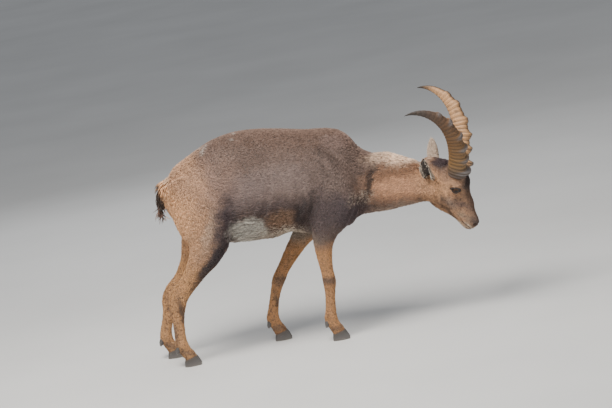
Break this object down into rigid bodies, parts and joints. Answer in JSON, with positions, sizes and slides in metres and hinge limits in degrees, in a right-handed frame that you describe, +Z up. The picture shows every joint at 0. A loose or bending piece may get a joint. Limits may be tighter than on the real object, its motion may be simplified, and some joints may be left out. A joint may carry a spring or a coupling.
{
  "type": "alpine ibex",
  "caption": "Life-size model of a young male alpine ibex standing with its head lowered to graze, with short fur and ridged horns swept back.",
  "frame": {"origin": "on the floor, under the middle of the bounding box", "axes": "+X along the body towards the head, +Y to the animal's left, +Z up"},
  "size_m": [1.2197, 0.3261, 0.8083],
  "materials": {
    "hide": "short dense fur, brown back and greyer flank",
    "leg": "short tawny fur with dark front stripes",
    "face": "very short tan fur",
    "ear": "short fur, pale inside",
    "tail": "dark hair",
    "horn": "ridged horn",
    "claw": "dark hoof horn",
    "eye": "wet eye"
  },
  "bodies": {
    "root": {"torso": "hide", "neck": "hide", "head": "face", "tail": "tail", "ear_left": "ear", "eye_left": "eye", "horn_left": "horn", "fore_upper_leg_left": "hide", "fore_lower_leg_left": "leg", "fore_left_claw_outer": "claw", "fore_left_claw_inner": "claw", "fore_left_dewclaw_outer": "claw", "fore_left_dewclaw_inner": "claw", "hind_upper_leg_left": "hide", "hind_lower_leg_left": "leg", "hind_left_claw_outer": "claw", "hind_left_claw_inner": "claw", "hind_left_dewclaw_outer": "claw", "hind_left_dewclaw_inner": "claw", "ear_right": "ear", "eye_right": "eye", "horn_right": "horn", "fore_upper_leg_right": "hide", "fore_lower_leg_right": "leg", "fore_right_claw_outer": "claw", "fore_right_claw_inner": "claw", "fore_right_dewclaw_outer": "claw", "fore_right_dewclaw_inner": "claw", "hind_upper_leg_right": "hide", "hind_lower_leg_right": "leg", "hind_right_claw_outer": "claw", "hind_right_claw_inner": "claw", "hind_right_dewclaw_outer": "claw", "hind_right_dewclaw_inner": "claw"}
  },
  "joints": []
}
